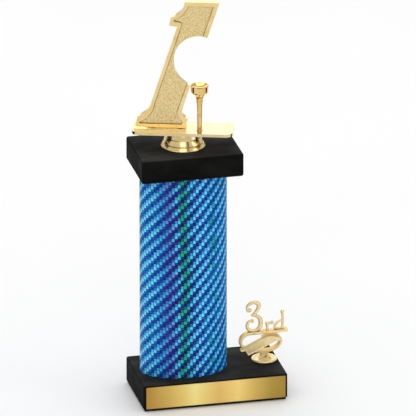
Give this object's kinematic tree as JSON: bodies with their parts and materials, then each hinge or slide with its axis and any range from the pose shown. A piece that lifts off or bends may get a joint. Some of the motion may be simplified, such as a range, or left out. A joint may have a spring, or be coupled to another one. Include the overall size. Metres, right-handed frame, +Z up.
{
  "type": "column trophy",
  "caption": "Trophy with a stone base and lid, an oval wrapped column, a gold numeral beside a golf tee on a riser, and a small gold ribbon trim on the base.",
  "frame": {"origin": "middle of the base's footprint, on the plane the trophy rests on", "axes": "+X to the trim's side of the base, +Y from the name plate towards the back, +Z up the column"},
  "size_m": [0.1381, 0.0717, 0.3666],
  "materials": {
    "black_stone": "satin",
    "column_board": "matte",
    "column_film": "gloss",
    "gold_plastic": "gloss",
    "plate_brass": "satin",
    "plug_plastic": "matte",
    "plate_tape": "matte",
    "black_felt": "matte",
    "zinc_steel": "satin"
  },
  "bodies": {
    "root": {"base_slab": "black_stone", "base_felt": "black_felt", "name_plate": "plate_brass", "name_plate_tape": "plate_tape", "column_core": "column_board", "column_wrap": "column_film", "lower_plug": "plug_plastic", "upper_plug": "plug_plastic", "lid_slab": "black_stone", "tie_rod": "zinc_steel", "rod_nut": "zinc_steel", "rod_washer": "zinc_steel", "rod_lock_washer": "zinc_steel", "riser": "gold_plastic", "figure_plate": "gold_plastic", "figure_insert_nut": "zinc_steel", "figure_numeral": "gold_plastic", "golf_tee": "gold_plastic", "trim_foot": "gold_plastic", "trim_ribbon": "gold_plastic", "trim_bar": "gold_plastic", "trim_numeral": "gold_plastic", "trim_letter_r": "gold_plastic", "trim_letter_d": "gold_plastic", "trim_screw": "zinc_steel", "trim_washer": "zinc_steel"}
  },
  "joints": []
}
